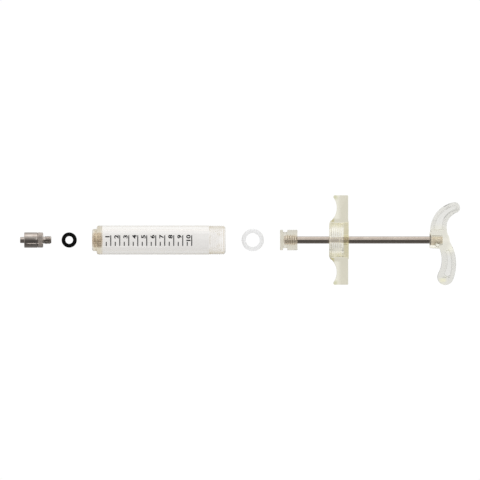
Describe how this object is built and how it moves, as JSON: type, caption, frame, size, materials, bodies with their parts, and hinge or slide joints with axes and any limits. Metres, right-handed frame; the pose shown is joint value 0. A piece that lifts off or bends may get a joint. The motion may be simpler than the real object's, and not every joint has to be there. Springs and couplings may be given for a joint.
{
  "type": "veterinary syringe",
  "caption": "Reusable veterinary syringe laid out in pieces: clear graduated barrel, metal luer-lock nozzle, seals, piston on a steel rod, winged finger grip and S-shaped palm handle.",
  "frame": {"origin": "middle of the laid-out row on the table, under the rod's line", "axes": "+X along the row from nozzle to handle, +Y up in the picture along the finger grip's arms, +Z up from the table"},
  "size_m": [0.2904, 0.0592, 0.0254],
  "materials": {
    "nickel": "bright nickel plate on turned brass",
    "insert_brass": "plain knurled brass",
    "steel": "drawn steel, lightly polished",
    "barrel_clear": "clear moulded plastic",
    "grip_amber": "pale yellow clear moulded plastic",
    "handle_clear": "clear moulded plastic",
    "piston_clear": "pale beige clear moulded plastic",
    "black_rubber": "matte black rubber",
    "white_silicone": "translucent white silicone",
    "ink": "black printed ink"
  },
  "bodies": {
    "grip": {"finger_grip": "grip_amber"},
    "plunger": {"plunger_rod": "steel", "piston": "piston_clear", "handle": "handle_clear", "handle_insert": "insert_brass"},
    "barrel": {"barrel": "barrel_clear", "nose_insert": "insert_brass", "scale_ticks": "ink", "scale_numerals": "ink"},
    "nozzle": {"nozzle_core": "nickel", "lock_sleeve": "nickel"},
    "o_ring": {"nozzle_o_ring": "black_rubber"},
    "seal": {"piston_seal": "white_silicone"}
  },
  "joints": [
    {"name": "plunger_slide", "type": "slide", "parent": "grip", "child": "plunger", "axis": [1, 0, 0], "range_m": [-0.0398, 0.0301]},
    {"name": "barrel_fit", "type": "slide", "parent": "grip", "child": "barrel", "axis": [1, 0, 0], "range_m": [0, 0.07761]},
    {"name": "nozzle_fit", "type": "slide", "parent": "barrel", "child": "nozzle", "axis": [0.972, 0, 0.2349], "range_m": [0, 0.03224]},
    {"name": "o_ring_fit", "type": "hinge", "parent": "barrel", "child": "o_ring", "pos_m": [-0.09938, 0, -0.00077], "axis": [0, 1, 0], "range_deg": [0, 90]},
    {"name": "seal_fit", "type": "hinge", "parent": "plunger", "child": "seal", "pos_m": [0.02476, 0, -0.00366], "axis": [0, 1, 0], "range_deg": [0, 90], "deforming": ["piston_seal"]}
  ]
}
